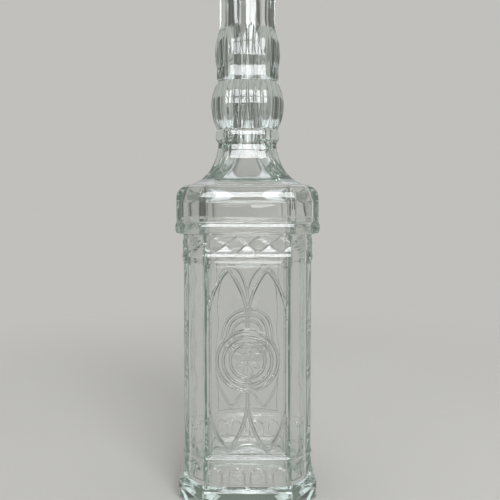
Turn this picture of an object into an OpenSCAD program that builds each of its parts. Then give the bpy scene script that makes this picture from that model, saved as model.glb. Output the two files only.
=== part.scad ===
// Moulded glass oil bottle with a cork bar-top stopper.
// Square bottle with chamfered corners: panelled body, stepped shoulder, two fluted bulbs on the neck.
// Origin at the middle of the foot, +Z up, millimetres. The front face looks towards -Y.

/* [Body] */
// Width of the body across its flats
body_w = 72.8; // [68:0.2:75]
// Width of one flat face of the body, between the corner chamfers
body_flat = 48.4; // [40:0.2:52]
// Wall of the body behind the panels
wall = 3.4; // [2.6:0.1:4.4]
// Thickness of the floor at its rim
floor_thickness = 8; // [6.5:0.5:12]
// Depth of the dished underside at its middle
punt_depth = 3.2; // [1:0.2:4.5]
// Width of the dished underside
punt_w = 58; // [40:1:64]

/* [Foot and plinth] */
// Width of the foot across its flats
foot_w = 79.8; // [77.6:0.2:86]
// Width of one flat face of the foot
foot_flat = 49.6; // [44:0.2:54]
// Height of the upright wall of the foot
foot_h = 10; // [6:0.5:14]
// Height of the rounded edge on top of the foot
foot_edge_h = 1.8; // [1:0.1:3]
// Height of the hollow curve from the foot up to the body
plinth_h = 14.4; // [10:0.2:20]
// How far the arches on the plinth stand out
arch_relief = 0.7; // [0.3:0.1:1.2]

/* [Panels] */
// Height of each sunk panel
panel_h = 105.8; // [98:0.2:120]
// Width of each sunk panel
panel_w = 43.8; // [40:0.2:46]
// Depth of each sunk panel
panel_depth = 1.4; // [0.8:0.1:2]
// Plain rail under the panel
lower_rail = 4; // [2:0.2:8]
// Plain rail over the panel
upper_rail = 1.8; // [1:0.2:6]
// Height of the raised tracery over the floor of the panel
tracery_relief = 0.9; // [0.4:0.1:1.4]
// Width of one line of the tracery
tracery_line = 2; // [1.2:0.1:2.6]
// Height of the pointed arch at each end of a lancet
lancet_arch_h = 30; // [24:0.5:40]
// Space between the point of a lancet and the end of the panel
lancet_margin = 1.9; // [1:0.1:5]
// Radius of the outer ring of the medallion, at the middle of its line
ring_outer_r = 16.9; // [15:0.1:18]
// Radius of the second ring
ring_middle_r = 13.5; // [12:0.1:14]
// Radius of the inner ring
ring_inner_r = 9.6; // [8:0.1:10.5]
// Length of one of the six petals in the middle
petal_h = 5.8; // [4:0.1:6]
// Width of a petal
petal_w = 2.8; // [2:0.1:3.4]
// Radius of the dot between the petals
dot_r = 1.1; // [0.8:0.1:1.4]

/* [Diamond band and beads] */
// Height of the bead over the panels
bead_h = 5; // [3:0.2:8]
// How far that bead stands out
bead_proud = 0.8; // [0.4:0.1:1.6]
// Height of the band of diamonds
band_h = 10.8; // [8:0.2:16]
// Diamonds on each flat face
diamonds = 4; // [2:1:6]
// How far the point of a diamond stands out
diamond_relief = 1.1; // [0.5:0.1:1.8]

/* [Shoulder] */
// Width of the shoulder block across its flats
shoulder_w = 80.4; // [77:0.2:86]
// Width of one flat face of the shoulder block
shoulder_flat = 51.6; // [46:0.2:56]
// Height of the bead that hangs round the foot of the shoulder
shoulder_bead_h = 6.4; // [4:0.2:9]
// How far that bead stands out
shoulder_bead_proud = 1.2; // [0.6:0.1:2]
// Height of the upright faces of the shoulder block
shoulder_h = 13.6; // [8:0.2:20]
// Radius of the round over the top edge of the shoulder
shoulder_round = 7.6; // [5:0.2:9]
// Height of the hollow curve up to the neck
flare_h = 25.2; // [20:0.2:34]

/* [Neck] */
// Width of the collars across their flats
collar_w = 36.2; // [34:0.2:40]
// Width of one flat face of the neck collars and bulbs
neck_flat = 21.6; // [18:0.2:23]
// Height of the lower collar
lower_collar_h = 7.4; // [5:0.2:10]
// How far the rounded lower collar stands out
lower_collar_proud = 1.4; // [0.6:0.1:2]
// Height of the upper collar
upper_collar_h = 7.2; // [5:0.2:10]
// Height of the lower bulb
lower_bulb_h = 28.4; // [24:0.2:34]
// Width of the lower bulb at its widest, across the valleys of its ribs
lower_bulb_w = 41.6; // [38:0.2:44]
// Height of the upper bulb
upper_bulb_h = 24.2; // [20:0.2:30]
// Width of the upper bulb at its widest, across the valleys of its ribs
upper_bulb_w = 37; // [36:0.2:40]
// Ribs on each flat face of a bulb
ribs_on_flat = 6; // [4:1:7]
// Valley between two ribs
rib_gap = 0.9; // [0.5:0.1:1.4]
// How far the ribs stand out
rib_relief = 0.7; // [0.3:0.1:1.2]
// Height of the pointed foot of a rib on the lower bulb
lower_point_h = 11; // [6:0.5:14]
// Height of the pointed foot of a rib on the upper bulb
upper_point_h = 9; // [5:0.5:12]
// Diameter of the round neck over the bulbs
neck_d = 33.2; // [31:0.2:35]
// Height of the round neck under the lip
neck_h = 32; // [26:0.5:38]

/* [Throat] */
// Diameter of the throat inside the upper bulb and the round neck
throat_d = 16.4; // [14:0.2:18]
// Diameter of the throat at its foot, under the lower collar
throat_foot_d = 21.2; // [18.4:0.2:24]

/* [Mouth] */
// Diameter of the rounded lip
lip_d = 35.6; // [35.2:0.2:40]
// Height of the lip
lip_h = 9.6; // [8:0.2:12]
// Radius of the round edges of the lip
lip_round = 2.2; // [1:0.1:3]
// Bore of the mouth
mouth_d = 18.5; // [17:0.1:21]
// Depth of the straight bore of the mouth
mouth_h = 22; // [20:0.5:28]

/* [Stopper] */
// Play between the cork and the bore, on the radius
cork_clearance = 0.05; // [0.02:0.01:0.1]
// Length of the cork below its head
cork_h = 18; // [14:0.5:19]
// Chamfer round the lower end of the cork
cork_chamfer = 1.2; // [0.5:0.1:2]
// Diameter of the turned head
head_d = 33; // [28:0.5:40]
// Height of the turned head
head_h = 16; // [12:0.5:22]
// Radius of the round edges of the head
head_round = 2.4; // [1:0.1:4]
// Diameter of the tenon that holds the head in the cork
tenon_d = 8; // [6:0.2:10]
// Length of that tenon
tenon_h = 7; // [5:0.2:10]
// Room for glue round the tenon, on the radius and at its end
glue_gap = 0.1; // [0.05:0.05:0.3]

/* [Hidden] */
$fn = 96;

// Levels, from the table up
foot_top = foot_h + foot_edge_h;
plinth_top = foot_top + plinth_h;
panel_z = plinth_top + lower_rail;
panel_top = panel_z + panel_h;
bead_z = panel_top + upper_rail;
band_z = bead_z + bead_h;
shoulder_z = band_z + band_h;
block_z = shoulder_z + shoulder_bead_h;
round_z = block_z + shoulder_h;
flare_z = round_z + shoulder_round;
lower_collar_z = flare_z + flare_h;
lower_bulb_z = lower_collar_z + lower_collar_h;
upper_collar_z = lower_bulb_z + lower_bulb_h;
upper_bulb_z = upper_collar_z + upper_collar_h;
neck_z = upper_bulb_z + upper_bulb_h;
lip_z = neck_z + neck_h;
bottle_h = lip_z + lip_h;
mouth_z = bottle_h - mouth_h;

// Half widths that several pieces share
body_r = body_w / 2;
foot_r = foot_w / 2;
shoulder_r = shoulder_w / 2;
collar_r = collar_w / 2;
neck_r = neck_d / 2;
mouth_r = mouth_d / 2;
panel_floor_r = body_r - panel_depth;
flare_r = shoulder_r - shoulder_round;

edge = 0.8;               // small bevel on the foot and the collars
root = 0.4;               // how deep raised work is rooted in the wall
hair = 0.02;              // lift of the bends in the chamfers
face_angles = [0, 90, 180, 270];

// A level of the chamfered square section: height, half width, half of the flat face
function level(z, r, flat) = [z, r, flat / 2];

// Steps along a curve, from 0 to 1
function steps(n) = [for (i = [0:n]) i / n];

// A half-round bead: from half width r0 out by proud and back to r1
function bead(z, h, r0, r1, proud, flat) =
    [for (t = steps(6)) level(z + h * (1 - cos(180 * t)) / 2, r0 + (r1 - r0) * t + proud * sin(180 * t), flat)];

// The hollow curve of the plinth: a quarter of an ellipse that leaves the foot flat and ends upright
function plinth_curve() =
    [for (t = steps(6)) level(foot_top + plinth_h * (1 - cos(90 * t)),
                              body_r + (foot_r - foot_edge_h - body_r) * (1 - sin(90 * t)),
                              foot_flat + (body_flat - foot_flat) * t)];

// The round over the top edge of the shoulder
function shoulder_curve() =
    [for (t = steps(5)) if (t < 1)
        level(round_z + shoulder_round * sin(90 * t), flare_r + shoulder_round * cos(90 * t), shoulder_flat)];

// The hollow curve from the shoulder up to the neck: part of an ellipse that ends upright. It runs from
// half width r0 and flat0 at its foot to r1 and flat1 at the collar.
flare_turn = 72;
function flare_curve(r0, flat0, r1, flat1) =
    [for (t = steps(9)) let (a = flare_turn * (1 - t), out = (1 - cos(a)) / (1 - cos(flare_turn)))
        level(flare_z + flare_h * (1 - sin(a) / sin(flare_turn)), r1 + (r0 - r1) * out, flat1 + (flat0 - flat1) * out)];

// Half width from r0 through the widest to r1, with the widest at the share peak of the height
function bulge(t, r0, widest, r1, peak) =
    t < peak ? widest - (widest - r0) * pow(1 - t / peak, 2)
             : widest - (widest - r1) * pow((t - peak) / (1 - peak), 2);
function bulb(z, h, r0, widest, r1, peak) =
    [for (t = steps(8)) level(z + h * t, bulge(t, r0, widest, r1, peak), neck_flat)];
function lower_bulb() = bulb(lower_bulb_z, lower_bulb_h, collar_r - 1, lower_bulb_w / 2, collar_r - 1.2, 0.5);
function upper_bulb() = bulb(upper_bulb_z, upper_bulb_h, collar_r - 0.4, upper_bulb_w / 2, neck_r + 0.3, 0.36);

// The outside of the bottle from the table to the foot of the round neck
outer_levels = concat(
    [level(0, foot_r - edge, foot_flat), level(edge, foot_r, foot_flat), level(foot_h, foot_r, foot_flat),
     level(foot_h + foot_edge_h * 0.7, foot_r - foot_edge_h * 0.3, foot_flat)],
    plinth_curve(),
    bead(bead_z, bead_h, body_r, body_r, bead_proud, body_flat),
    [level(shoulder_z - edge, body_r, body_flat)],
    bead(shoulder_z, shoulder_bead_h, shoulder_r - edge, shoulder_r, shoulder_bead_proud, shoulder_flat),
    shoulder_curve(),
    flare_curve(flare_r, shoulder_flat * flare_r / shoulder_r, collar_r, neck_flat),
    bead(lower_collar_z, lower_collar_h, collar_r - edge, collar_r - edge, lower_collar_proud, neck_flat),
    lower_bulb(),
    [level(upper_collar_z, collar_r - edge / 2, neck_flat), level(upper_collar_z + edge, collar_r, neck_flat),
     level(upper_bulb_z - edge, collar_r, neck_flat), level(upper_bulb_z, collar_r - edge / 2, neck_flat)],
    upper_bulb());

// One silhouette of the bottle, drawn through its full depth
module silhouette(half) {
    right = [for (p = half) [p[1], p[0]]];
    left = [for (i = [len(half) - 1:-1:0]) [-half[i][1], half[i][0]]];
    rotate([90, 0, 0])
        linear_extrude(height = 2 * foot_w, center = true)
            polygon(concat(right, left));
}

// A form of chamfered square section: two silhouettes cut the flats and two cut the chamfers. The bends of
// the chamfers lie a hair over those of the flats, so that no more than three faces meet in a point.
module faceted_form(levels, grow = 0) {
    flats = [for (p = levels) [p[0], p[1] + grow]];
    corners = [for (i = [0:len(levels) - 1]) let (p = levels[i])
        [p[0] + (i > 0 ? hair : 0), (p[1] + p[2]) / sqrt(2) + grow]];
    intersection() {
        silhouette(flats);
        rotate([0, 0, 90]) silhouette(flats);
        rotate([0, 0, 45]) silhouette(corners);
        rotate([0, 0, 135]) silhouette(corners);
    }
}

// Ribs on the flats of one bulb: each follows the curve of the bulb, with a round head and a pointed foot
rib_pitch = neck_flat / ribs_on_flat;
module rib(z, h, point_h) {
    r = (rib_pitch - rib_gap) / 2;
    rotate([90, 0, 0])
        linear_extrude(height = foot_r) {
            polygon([[0, z], [r, z + point_h], [r, z + h - r], [-r, z + h - r], [-r, z + point_h]]);
            translate([0, z + h - r]) circle(r);
        }
}
module bulb_ribs(levels, point_h) {
    z = levels[0][0] + edge;
    h = levels[len(levels) - 1][0] - edge - z;
    intersection() {
        faceted_form(levels, rib_relief);
        for (a = face_angles, i = [0:ribs_on_flat - 1])
            rotate([0, 0, a]) translate([(i - (ribs_on_flat - 1) / 2) * rib_pitch, 0, 0]) rib(z, h, point_h);
    }
}

// The round neck and its rounded lip
module neck_and_lip() {
    translate([0, 0, neck_z - 1]) cylinder(r = neck_r, h = neck_h + lip_h / 2 + 1);
    translate([0, 0, lip_z]) rounded_disc(lip_d / 2, lip_h, lip_round);
}
module rounded_disc(r, h, round) {
    rotate_extrude() {
        square([r - round, h]);
        translate([0, round]) square([r, h - 2 * round]);
        for (z = [round, h - round]) translate([r - round, z]) circle(round);
    }
}

// Raised tracery of one panel, flat: two pointed lancets side by side, and a medallion of rings and petals
lancet_half = panel_w / 4;
stem_half = panel_h / 2 - lancet_margin - lancet_arch_h;
arch_r = (pow(lancet_half, 2) + pow(lancet_arch_h, 2)) / (2 * lancet_half);
module ring(r) {
    difference() {
        circle(r + tracery_line / 2);
        circle(r - tracery_line / 2);
    }
}
module lancet_arch() {
    lap = tracery_line / 3;
    for (side = [0, 1]) mirror([side, 0])
        intersection() {
            translate([lancet_half - arch_r, 0]) ring(arch_r);
            translate([-lap, 0]) square([2 * lancet_half, lancet_arch_h + tracery_line]);
        }
}
module petal() {
    r = (pow(petal_h, 2) + pow(petal_w, 2)) / (4 * petal_w);
    intersection() {
        translate([r - petal_w / 2, 0]) circle(r);
        translate([petal_w / 2 - r, 0]) circle(r);
    }
}
module tracery() {
    difference() {
        union() {
            for (side = [-1, 1], end = [0, 1])
                mirror([0, end]) translate([side * lancet_half, stem_half]) lancet_arch();
            for (x = [-2, 0, 2] * lancet_half)
                translate([x - tracery_line / 2, -stem_half]) square([tracery_line, 2 * stem_half]);
        }
        circle(ring_outer_r);
    }
    for (r = [ring_outer_r, ring_middle_r, ring_inner_r]) ring(r);
    for (a = [0:60:300]) rotate(a) translate([0, 2 * dot_r + petal_h / 2]) petal();
    circle(dot_r);
}
module raised_tracery() {
    translate([0, root - panel_floor_r, (panel_z + panel_top) / 2])
        rotate([90, 0, 0])
            linear_extrude(height = tracery_relief + root)
                intersection() {
                    tracery();
                    square([panel_w + 2 * root, panel_h], center = true);
                }
}
module panel_recess() {
    translate([-panel_w / 2, -body_r - 1, panel_z]) cube([panel_w, panel_depth + 1, panel_h]);
}

// A lozenge with its middle drawn out to a point
module diamond(w, h) {
    points = [[-w / 2, 0, 0], [0, 0, -h / 2], [w / 2, 0, 0], [0, 0, h / 2], [0, -diamond_relief, 0], [0, root, 0]];
    polyhedron(points, [for (i = [0:3]) each [[i, 4, (i + 1) % 4], [(i + 1) % 4, 5, i]]]);
}

// Raised work repeated round the body: so many on each flat face, and one on each chamfer
pitch = body_flat / diamonds;
corner_r = (body_r + body_flat / 2) / sqrt(2);
corner_flat = (body_r - body_flat / 2) * sqrt(2);
module on_each_face() {
    for (a = face_angles, i = [0:diamonds - 1])
        rotate([0, 0, a]) translate([(i - (diamonds - 1) / 2) * pitch, 0, 0]) children();
}
module on_each_corner() {
    for (a = face_angles) rotate([0, 0, a + 45]) children();
}
module diamond_band() {
    middle = (band_z + shoulder_z - edge) / 2;
    h = band_h - edge;
    on_each_face() translate([0, -body_r, middle]) diamond(pitch, h);
    on_each_corner() translate([0, -corner_r, middle]) diamond(corner_flat, h);
}

// Round-headed arches that follow the hollow curve of the plinth
module arch() {
    w = 0.8 * pitch;
    springing = foot_top + 0.45 * plinth_h;
    rotate([90, 0, 0]) linear_extrude(height = foot_w) {
        translate([0, springing]) circle(w / 2);
        translate([-w / 2, foot_top - edge]) square([w, springing - foot_top + edge]);
    }
}
module plinth_arches() {
    foot_core = level(foot_h, foot_r - foot_edge_h - arch_relief, foot_flat);
    intersection() {
        faceted_form(concat([foot_core], plinth_curve(), [level(panel_z, body_r, body_flat)]), arch_relief);
        difference() {
            union() {
                on_each_face() arch();
                on_each_corner() arch();
            }
            cylinder(r = body_r - 2, h = panel_z);
        }
    }
}

// The hollow inside: a smooth square well that narrows to a round throat, and the straight bore of the mouth
inner_r = panel_floor_r - wall;
inner_flat = body_flat * inner_r / body_r;
inner_shoulder_r = shoulder_r - panel_depth - wall;
inner_flare_r = flare_r - panel_depth - wall;
throat_r = throat_d / 2;
throat_foot_r = throat_foot_d / 2;
throat_start_z = flare_z + flare_h / 2;
octagon = 2 * tan(22.5);  // one side of an octagon over its half width
well_top_r = throat_foot_r - 1;
well_levels = concat(
    [level(floor_thickness, inner_r - 5, inner_flat - 6), level(floor_thickness + 1.6, inner_r - 1.8, inner_flat - 2),
     level(floor_thickness + 5, inner_r, inner_flat), level(shoulder_z - 3, inner_r, inner_flat),
     level(block_z, inner_shoulder_r, inner_flat + 3), level(round_z, inner_shoulder_r, inner_flat + 3),
     level(round_z + shoulder_round / 2, inner_shoulder_r - 2.4, inner_flat + 1)],
    flare_curve(inner_flare_r, inner_flat, well_top_r, octagon * well_top_r));
module cavity() {
    faceted_form(well_levels);
    rotate_extrude()
        polygon(concat(
            [[0, throat_start_z], [throat_foot_r, throat_start_z]],
            [for (t = steps(8)) [throat_r + (throat_foot_r - throat_r) * pow(1 - t, 2),
                                 lower_collar_z + (upper_collar_z - lower_collar_z) * t]],
            [[throat_r, mouth_z - (mouth_r - throat_r)], [mouth_r, mouth_z], [0, mouth_z]]));
    translate([0, 0, mouth_z - 1]) cylinder(r = mouth_r, h = mouth_h + 2);
}

// The dished underside: the cap of a large ball
punt_r = (pow(punt_w / 2, 2) + pow(punt_depth, 2)) / (2 * punt_depth);
module punt() {
    translate([0, 0, punt_depth - punt_r]) sphere(punt_r);
}

module glass_bottle() {
    color([0.72, 0.82, 0.77, 0.5])
        difference() {
            union() {
                difference() {
                    faceted_form(outer_levels);
                    for (a = face_angles) rotate([0, 0, a]) panel_recess();
                }
                for (a = face_angles) rotate([0, 0, a]) raised_tracery();
                diamond_band();
                plinth_arches();
                bulb_ribs(lower_bulb(), lower_point_h);
                bulb_ribs(upper_bulb(), upper_point_h);
                neck_and_lip();
            }
            cavity();
            punt();
        }
}

// The cork under the head, bored for the tenon
module stopper_cork() {
    cork_r = mouth_r - cork_clearance;
    color([0.78, 0.62, 0.44])
        difference() {
            translate([0, 0, bottle_h - cork_h]) {
                cylinder(r1 = cork_r - cork_chamfer, r2 = cork_r, h = cork_chamfer);
                translate([0, 0, cork_chamfer]) cylinder(r = cork_r, h = cork_h - cork_chamfer);
            }
            translate([0, 0, bottle_h - tenon_h - glue_gap])
                cylinder(r = tenon_d / 2 + glue_gap, h = tenon_h + glue_gap + 1);
        }
}

// The turned wooden head, with the tenon under it
module stopper_head() {
    color([0.55, 0.38, 0.22]) {
        translate([0, 0, bottle_h - tenon_h]) cylinder(r = tenon_d / 2, h = tenon_h + head_h / 2);
        translate([0, 0, bottle_h]) rounded_disc(head_d / 2, head_h, head_round);
    }
}

glass_bottle();
stopper_cork();
stopper_head();
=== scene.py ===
import math

import bpy
import numpy as np
from mathutils import Matrix
from mathutils.geometry import delaunay_2d_cdt


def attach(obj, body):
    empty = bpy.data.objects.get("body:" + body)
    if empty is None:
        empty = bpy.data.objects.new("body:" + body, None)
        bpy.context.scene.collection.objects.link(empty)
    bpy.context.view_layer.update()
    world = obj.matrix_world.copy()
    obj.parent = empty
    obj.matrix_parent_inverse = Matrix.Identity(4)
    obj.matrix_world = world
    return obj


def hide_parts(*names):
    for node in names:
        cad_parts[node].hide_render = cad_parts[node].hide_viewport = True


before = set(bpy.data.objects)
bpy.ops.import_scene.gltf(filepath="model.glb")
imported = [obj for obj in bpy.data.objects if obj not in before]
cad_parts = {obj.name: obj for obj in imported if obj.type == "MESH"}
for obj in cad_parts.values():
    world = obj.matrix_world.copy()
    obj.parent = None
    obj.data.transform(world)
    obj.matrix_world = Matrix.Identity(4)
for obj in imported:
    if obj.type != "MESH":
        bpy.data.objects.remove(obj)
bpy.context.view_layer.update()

# ---------------------------------------------------------------------------------------------------------
# The camera stands a hand's length in front of the bottle, a little over the middle of its height, and
# looks slightly down, so that the neck leaves the picture at the top and the foot at the bottom.
FILM = 500                       # pixels along one side of the picture
VIEW_PIXELS = 550                # distance of the picture plane, in pixels
CAMERA_AT = (0, -0.3364, 0.165)  # metres
LOOK_DOWN = 2.6                  # degrees
SHIFT_RIGHT, SHIFT_UP = 2.5, -12.0   # pixels that the picture is moved across the lens

camera = bpy.data.objects.new("camera", bpy.data.cameras.new("camera"))
camera.data.sensor_width = 36
camera.data.lens = 36 * VIEW_PIXELS / FILM
camera.data.shift_x = SHIFT_RIGHT / FILM
camera.data.shift_y = SHIFT_UP / FILM
camera.location = CAMERA_AT
camera.rotation_euler = (math.radians(90 - LOOK_DOWN), 0, 0)
bpy.context.scene.collection.objects.link(camera)
bpy.context.scene.camera = camera
bpy.context.scene.view_settings.view_transform = "Standard"

# ---------------------------------------------------------------------------------------------------------
# The bottle is one piece of clear moulded glass, fire-polished so that every edge is a little round.
# Its outside is a square with cut corners that turns into a circle at the neck, its inside is a smooth
# well, and the two are one closed surface that meets over the lip.
MM = 0.001
BODY_R, BODY_FLAT = 36.4, 24.2            # half the width across the flats, and half of one flat
BODY_SOFT = 2.4                           # radius of its upright edges
FOOT_R, FOOT_FLAT, FOOT_H = 39.9, 24.8, 10.0
FOOT_SOFT, FOOT_BEVEL, FOOT_STEP = 1.4, 0.8, 1.8     # its upright edges, its lower rim, and its upper edge
FOOT_TOP, PLINTH_TOP = 11.8, 26.2
RIDGE_PROUD, RIDGE_LOW, RIDGE_HIGH = 0.65, 1.0, 2.2  # the fine ridge over the plinth
PANEL_Z, PANEL_TOP = 30.2, 136.0
BEAD_Z, BAND_Z, BAND_TOP = 137.8, 142.8, 152.8
BEAD_PROUD, LEDGE_PROUD, LEDGE_H = 0.8, 0.6, 4.4     # the bead over the panel, and the slope over the bead
SHOULDER_Z, BLOCK_Z, ROUND_Z, FLARE_Z = 153.6, 160.0, 173.6, 181.2
SHOULDER_R, SHOULDER_FLAT, FLARE_R = 40.2, 25.8, 32.6
SHOULDER_SOFT, SHOULDER_BEAD_IN, SHOULDER_BEAD_PROUD = 2.6, 0.4, 1.14
COLLAR_Z, LOWER_BULB_Z, UPPER_COLLAR_Z, UPPER_BULB_Z, NECK_Z = 206.4, 213.8, 242.2, 249.4, 273.6
COLLAR_R, NECK_FLAT = 18.1, 10.8
COLLAR_IN, COLLAR_PROUD = 0.8, 1.4                   # where the lower collar starts, and how far it stands out
LOWER_BULB_R, UPPER_BULB_R, NECK_SOFT = 20.8, 18.5, 4.6
NECK_R, LIP_Z, LIP_R, LIP_ROUND = 16.6, 305.6, 17.8, 2.2
TOP, MOUTH_R, MOUTH_Z = 315.2, 9.25, 293.2
PUNT_R, PUNT_DEPTH = 29.0, 3.2
FLOOR_Z, WALL = 8.0, 4.8                  # top of the floor, and the wall with the depth of a panel in it
INNER_R, INNER_FLAT, INNER_SOFT = 31.6, 21.0, 6
FLOOR_IN, FLOOR_FLAT_IN = 5, 3            # how far the rounded edge of the floor reaches in
THROAT_R, THROAT_FOOT_R = 8.2, 10.6


def levels(z, half, flat, soft, turned=0.0):
    """Rows of (height, half width, half flat, corner radius, roundness) along one stretch of the profile.

    Roundness runs from 0, a square with cut corners, to 1, a circle.
    """
    columns = [np.broadcast_to(v, np.shape(z)) for v in (z, half, flat, soft, turned)]
    return np.stack(columns, axis=-1).astype(float)


def circles(z, half, flat=6.9, soft=5):
    """Rows of a round stretch: its flat and corner only guide the change to it from a squarer one."""
    return levels(z, half, flat, soft, 1)


def share(rows):
    """Even steps from 0 to 1."""
    return np.linspace(0, 1, rows)


def ease(t):
    """Smooth step: 3 t^2 - 2 t^3 of t held between 0 and 1."""
    t = np.clip(t, 0, 1)
    return t * t * (3 - 2 * t)


def bead(z, height, half, proud, flat, soft):
    """A half-round ring that stands out by proud.

    Its half width is half + proud sin(180 t), at the height z + height (1 - cos(180 t)) / 2.
    """
    t = share(17)
    return levels(z + height * (1 - np.cos(np.pi * t)) / 2, half + proud * np.sin(np.pi * t), flat, soft)


def bulge(t, low, wide, high, peak):
    """Half width that grows from low to wide at the share peak of the height, and falls to high.

    Two parabolas meet there: wide - (wide - low) (1 - t / peak)^2, and the like on the other side.
    """
    return np.where(t < peak, wide - (wide - low) * (1 - t / peak) ** 2,
                    wide - (wide - high) * ((t - peak) / (1 - peak)) ** 2)


def flare(low_half, low_flat, high_half, high_flat):
    """The hollow curve from the shoulder up to the neck: 72 degrees of an ellipse that ends upright."""
    turn = np.radians(72) * (1 - share(30))
    out = (1 - np.cos(turn)) / (1 - np.cos(turn[0]))
    z = FLARE_Z + (COLLAR_Z - FLARE_Z) * (1 - np.sin(turn) / np.sin(turn[0]))
    return z, high_half + (low_half - high_half) * out, high_flat + (low_flat - high_flat) * out


def outside():
    """The profile of the outside, from the middle of the dished underside up and over the lip to the bore.

    The stretches, in order: dish, rim and wall of the foot, hollow curve of the plinth, ridge, body, bead,
    band, bead and block of the shoulder, its rounded top, flare, collars and bulbs, round neck, and lip.
    """
    t = share(24)
    quarter = np.pi / 2 * t
    flare_z, flare_half, flare_flat = flare(
        FLARE_R, SHOULDER_FLAT * FLARE_R / SHOULDER_R, COLLAR_R - COLLAR_IN, NECK_FLAT)
    return np.concatenate([
        levels(PUNT_DEPTH * (1 - t ** 2), PUNT_R * t, FOOT_FLAT * t, 1, 1),
        levels([0.0, 0.0], [PUNT_R + 1.5, FOOT_R - FOOT_BEVEL], FOOT_FLAT, FOOT_SOFT, [1, 0]),
        levels([FOOT_BEVEL, FOOT_H, FOOT_H + 0.7 * FOOT_STEP],
               [FOOT_R, FOOT_R, FOOT_R - 0.3 * FOOT_STEP], FOOT_FLAT, FOOT_SOFT),
        levels(FOOT_TOP + (PLINTH_TOP - FOOT_TOP) * (1 - np.cos(quarter)),
               BODY_R + (FOOT_R - FOOT_STEP - BODY_R) * (1 - np.sin(quarter)),
               FOOT_FLAT + (BODY_FLAT - FOOT_FLAT) * t, BODY_SOFT),
        levels([PLINTH_TOP + RIDGE_LOW, PLINTH_TOP + RIDGE_HIGH], BODY_R + RIDGE_PROUD, BODY_FLAT, BODY_SOFT),
        levels(np.linspace(PLINTH_TOP + 2.9, BEAD_Z - 0.5, 60), BODY_R, BODY_FLAT, BODY_SOFT),
        bead(BEAD_Z, BAND_Z - BEAD_Z, BODY_R, BEAD_PROUD, BODY_FLAT, BODY_SOFT),
        levels([BAND_Z + 0.2, BAND_Z + LEDGE_H, BAND_TOP],
               BODY_R + np.array([LEDGE_PROUD, 0, 0]), BODY_FLAT, BODY_SOFT),
        bead(SHOULDER_Z, BLOCK_Z - SHOULDER_Z, SHOULDER_R - SHOULDER_BEAD_IN, SHOULDER_BEAD_PROUD,
             SHOULDER_FLAT, BODY_SOFT),
        levels([BLOCK_Z + 0.5, ROUND_Z], SHOULDER_R, SHOULDER_FLAT, SHOULDER_SOFT),
        levels(ROUND_Z + (FLARE_Z - ROUND_Z) * np.sin(quarter),
               FLARE_R + (SHOULDER_R - FLARE_R) * np.cos(quarter),
               SHOULDER_FLAT - 4.9 * (1 - np.cos(quarter)), SHOULDER_SOFT + 2 * t),
        levels(flare_z[1:], flare_half[1:], flare_flat[1:], NECK_SOFT),
        bead(COLLAR_Z, LOWER_BULB_Z - COLLAR_Z, COLLAR_R - COLLAR_IN, COLLAR_PROUD, NECK_FLAT, 3.2),
        levels(LOWER_BULB_Z + (UPPER_COLLAR_Z - LOWER_BULB_Z) * t,
               bulge(t, COLLAR_R - 1, LOWER_BULB_R, COLLAR_R - 1.2, 0.5),
               NECK_FLAT + 1.6 * np.sin(np.pi * t), NECK_SOFT),
        levels([UPPER_COLLAR_Z + 0.3, UPPER_COLLAR_Z + 1, UPPER_BULB_Z - 1, UPPER_BULB_Z - 0.3],
               [COLLAR_R - 0.4, COLLAR_R, COLLAR_R, COLLAR_R - 0.4], NECK_FLAT, 2.6),
        levels(UPPER_BULB_Z + (NECK_Z - UPPER_BULB_Z) * t,
               bulge(t, COLLAR_R - 0.4, UPPER_BULB_R, NECK_R + 0.3, 0.36),
               NECK_FLAT, 3.6 + 1.4 * t, ease(2 * t - 1.1)),
        circles([NECK_Z + 2, LIP_Z], NECK_R),
        circles(LIP_Z + LIP_ROUND * (1 - np.cos(quarter)), LIP_R - LIP_ROUND * (1 - np.sin(quarter))),
        circles(TOP - LIP_ROUND * (1 - np.sin(quarter)), LIP_R - LIP_ROUND * (1 - np.cos(quarter))),
        circles([TOP, TOP - 0.35, TOP - 1.2, TOP - 6],
                [MOUTH_R + 1.2, MOUTH_R + 0.35, MOUTH_R, MOUTH_R], 4, 3),
    ])


def inside():
    """The profile of the well, from the bore of the mouth down to the middle of the floor.

    The stretches, in order: bore and throat, throat to collar, flare, shoulder, body, and the floor.
    """
    t, over_floor = share(20), share(10)
    flare_z, flare_half, flare_flat = (
        v[::-1] for v in flare(FLARE_R - WALL, INNER_FLAT, THROAT_FOOT_R, 0.42 * THROAT_FOOT_R))
    return np.concatenate([
        circles([TOP - 7.5, MOUTH_Z, MOUTH_Z - 1.2, UPPER_COLLAR_Z + 1],
                [MOUTH_R, MOUTH_R, THROAT_R, THROAT_R], 4, 3),
        circles(UPPER_COLLAR_Z - (UPPER_COLLAR_Z - COLLAR_Z - 0.5) * t,
                THROAT_R + (THROAT_FOOT_R - THROAT_R) * t ** 2, 4, 3),
        levels(flare_z, flare_half, flare_flat, NECK_SOFT, ease((flare_z - COLLAR_Z + 7) / 7)),
        levels([ROUND_Z + 3.0, ROUND_Z - 1.6, BLOCK_Z],
               SHOULDER_R - WALL - np.array([2.6, 0, 0]), INNER_FLAT + 1.5, INNER_SOFT),
        levels([SHOULDER_Z - 3, FLOOR_Z + 5, FLOOR_Z + 1.6, FLOOR_Z],
               INNER_R - np.array([0, 0, 1.8, FLOOR_IN]), INNER_FLAT - np.array([0, 0, 1, FLOOR_FLAT_IN]),
               INNER_SOFT),
        levels(FLOOR_Z - 0.3 * np.sin(np.pi * over_floor / 2), (INNER_R - FLOOR_IN) * (1 - over_floor),
               (INNER_FLAT - FLOOR_FLAT_IN) * (1 - over_floor), INNER_SOFT * (1 - over_floor), over_floor),
    ])


STRIDE = 0.1      # millimetres between the points of a polished profile


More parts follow.
